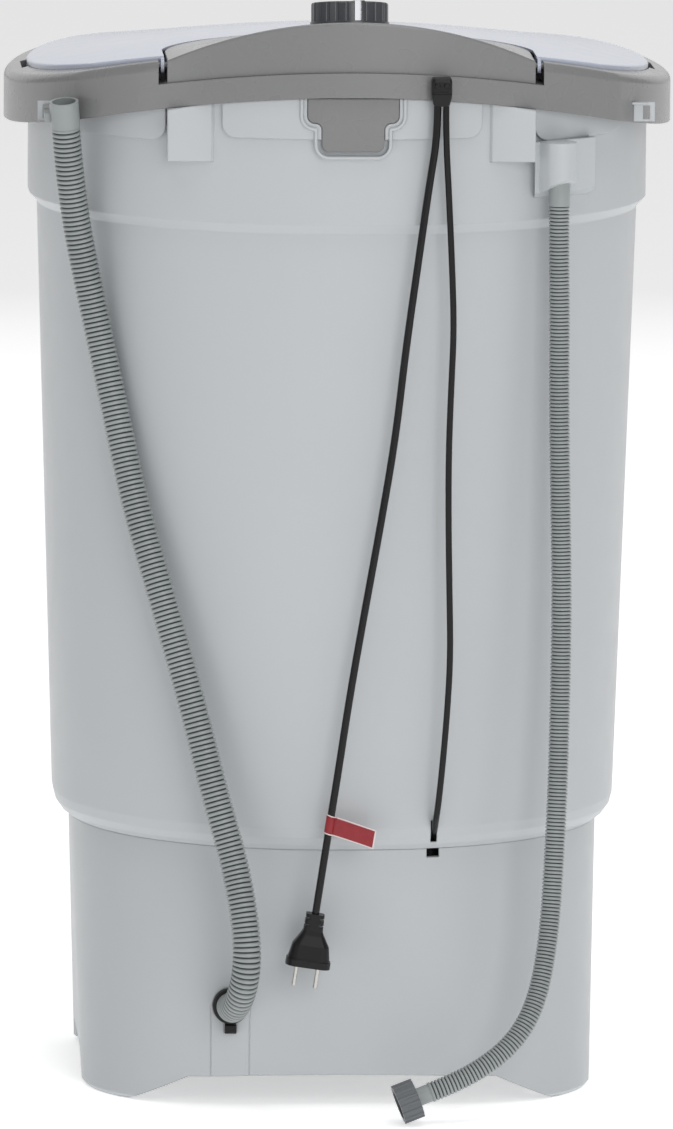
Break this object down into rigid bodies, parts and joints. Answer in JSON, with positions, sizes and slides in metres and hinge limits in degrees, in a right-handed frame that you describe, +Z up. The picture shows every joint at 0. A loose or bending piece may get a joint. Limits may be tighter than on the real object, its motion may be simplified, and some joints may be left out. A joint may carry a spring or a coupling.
{
  "type": "single tub washing machine",
  "caption": "Upright single tub washing machine with a hinged lid, timer knob, drain hose, inlet hose with coupling nut and a power lead, on an open base that holds the drive.",
  "frame": {"origin": "on the floor under the middle of the machine", "axes": "+Z up, +Y towards the front, +X to the right when the rear is looked at; hoses, lead and timer are at the rear"},
  "size_m": [0.59, 0.6117, 0.9759],
  "materials": {
    "body_white": "gloss",
    "cover_grey": "satin",
    "lid_tint": "gloss",
    "hose_grey": "satin",
    "trim_white": "satin",
    "black_plastic": "satin",
    "knob_dark": "satin",
    "chrome": "polished",
    "rubber": "matte",
    "lead_black": "satin",
    "tag_red": "satin",
    "nut_grey": "satin",
    "steel": "brushed",
    "brass": "satin",
    "bronze": "matte",
    "alloy": "cast",
    "motor_case": "satin",
    "pulsator_blue": "satin"
  },
  "bodies": {
    "machine": {"tub_body": "body_white", "base": "body_white", "drain_slot_insert": "body_white", "insert_latch": "black_plastic", "drain_grommet": "rubber", "top_cover_ring": "cover_grey", "console_housing": "cover_grey", "hinge_pin_left": "cover_grey", "hinge_pin_right": "cover_grey", "timer": "black_plastic", "rear_tongue_plate": "cover_grey", "cable_clamp": "black_plastic", "plug_body": "black_plastic", "plug_pins": "brass", "cord_tag": "tag_red", "drain_hose_cuff": "hose_grey", "hose_clip_left": "trim_white", "hose_clip_right": "trim_white", "inlet_housing": "trim_white", "inlet_hose_cuff": "hose_grey", "inlet_spout": "trim_white", "inlet_hose_tail": "hose_grey", "inlet_washer": "rubber", "drain_pipe": "black_plastic", "drain_strainer": "trim_white", "bearing_housing": "alloy", "drive_belt": "rubber", "motor": "motor_case", "motor_gland": "rubber", "drive_bracket": "steel", "bracket_posts": "steel", "bracket_bolts": "steel", "motor_bolts": "steel", "bearing_bolts": "steel", "base_screws": "steel", "capacitor": "trim_white", "capacitor_clip": "steel", "lower_bush": "bronze", "upper_bush": "bronze", "shaft_seal": "rubber", "power_cord": "lead_black", "motor_cable": "lead_black", "drain_hose": "hose_grey", "inlet_hose": "hose_grey"},
    "lid": {"lid": "lid_tint"},
    "knob": {"timer_knob": "knob_dark", "knob_pointer": "chrome", "timer_shaft": "steel"},
    "pulsator": {"pulsator": "pulsator_blue", "pulsator_screw": "steel", "pulsator_shaft": "steel", "drive_pulley": "black_plastic", "pulley_nut": "steel"},
    "motor_rotor": {"motor_shaft": "steel", "motor_pulley": "alloy"},
    "inlet_nut": {"inlet_nut": "nut_grey"}
  },
  "joints": [
    {"name": "lid_hinge", "type": "hinge", "parent": "machine", "child": "lid", "pos_m": [0, -0.222, 0.918], "axis": [1, 0, 0], "range_deg": [0, 88]},
    {"name": "timer_turn", "type": "hinge", "parent": "machine", "child": "knob", "pos_m": [0, -0.2, 0.94942], "axis": [0, 0.1546, 0.988], "range_deg": [0, 300]},
    {"name": "pulsator_spin", "type": "hinge", "parent": "machine", "child": "pulsator", "pos_m": [0, 0, 0.2], "axis": [0, 0, 1], "continuous": true},
    {"name": "motor_spin", "type": "hinge", "parent": "machine", "child": "motor_rotor", "pos_m": [0.105, -0.105, 0.15], "axis": [0, 0, 1], "continuous": true},
    {"name": "nut_swivel", "type": "hinge", "parent": "machine", "child": "inlet_nut", "pos_m": [0.06081, -0.31212, 0.0233], "axis": [-0.9323, -0.0932, -0.3496], "continuous": true}
  ],
  "couplings": [
    {"joint": "motor_spin", "follows": "pulsator_spin", "ratio": 3}
  ]
}
